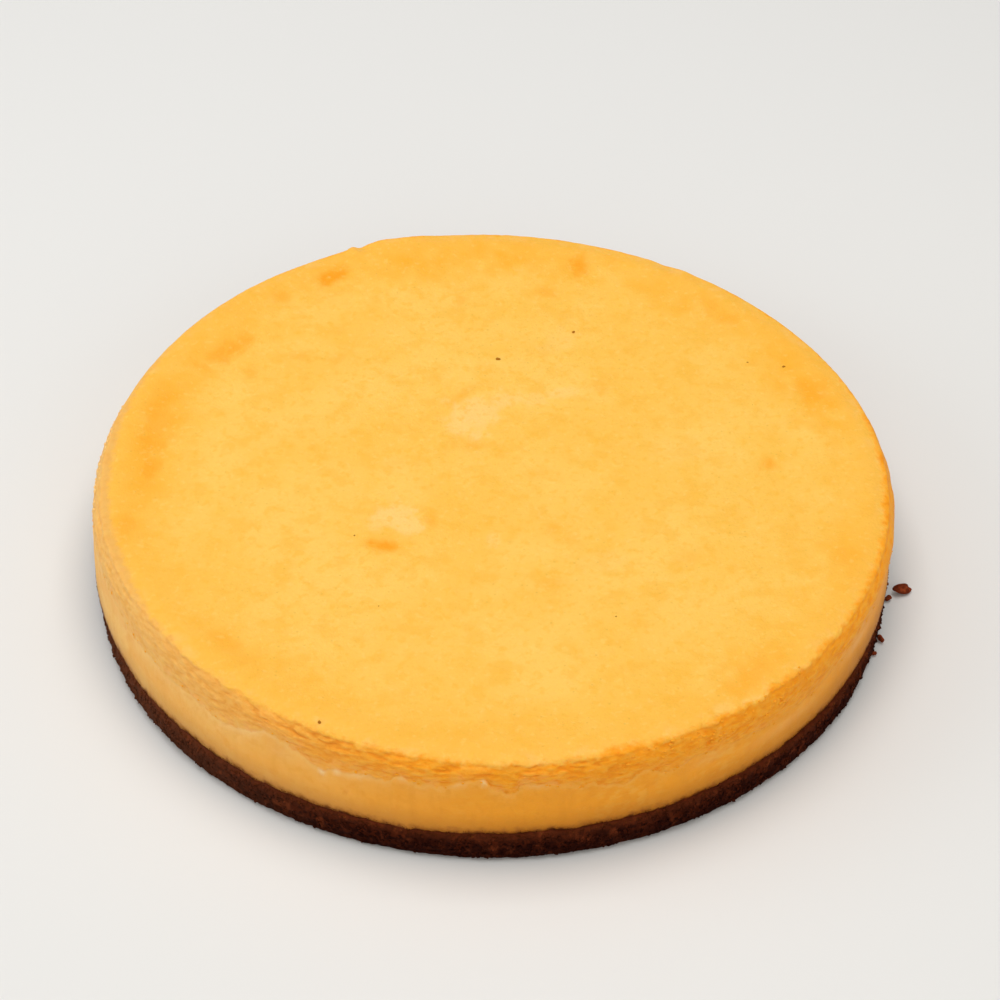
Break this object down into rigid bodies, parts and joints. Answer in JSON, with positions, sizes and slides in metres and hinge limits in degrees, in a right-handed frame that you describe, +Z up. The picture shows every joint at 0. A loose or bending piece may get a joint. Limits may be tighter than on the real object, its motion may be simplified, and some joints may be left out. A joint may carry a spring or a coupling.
{
  "type": "baked cheesecake",
  "caption": "Whole round baked cheesecake: a pressed chocolate crumb base under a baked custard filling with a torn, browned skin on its side.",
  "frame": {"origin": "middle of the flat underside, on the surface the cake stands on", "axes": "+Z straight up through the cake; -Y towards the side seen in front; +X to that viewer's right, where the top is slightly lower"},
  "size_m": [0.2295, 0.23, 0.0346],
  "materials": {
    "baked_custard": "soft matt baked custard, golden yellow, more orange where the skin has torn",
    "chocolate_crumb": "rough pressed chocolate biscuit crumb, very dark red-brown"
  },
  "bodies": {
    "root": {"crumb_base": "chocolate_crumb", "custard_filling": "baked_custard"}
  },
  "joints": []
}
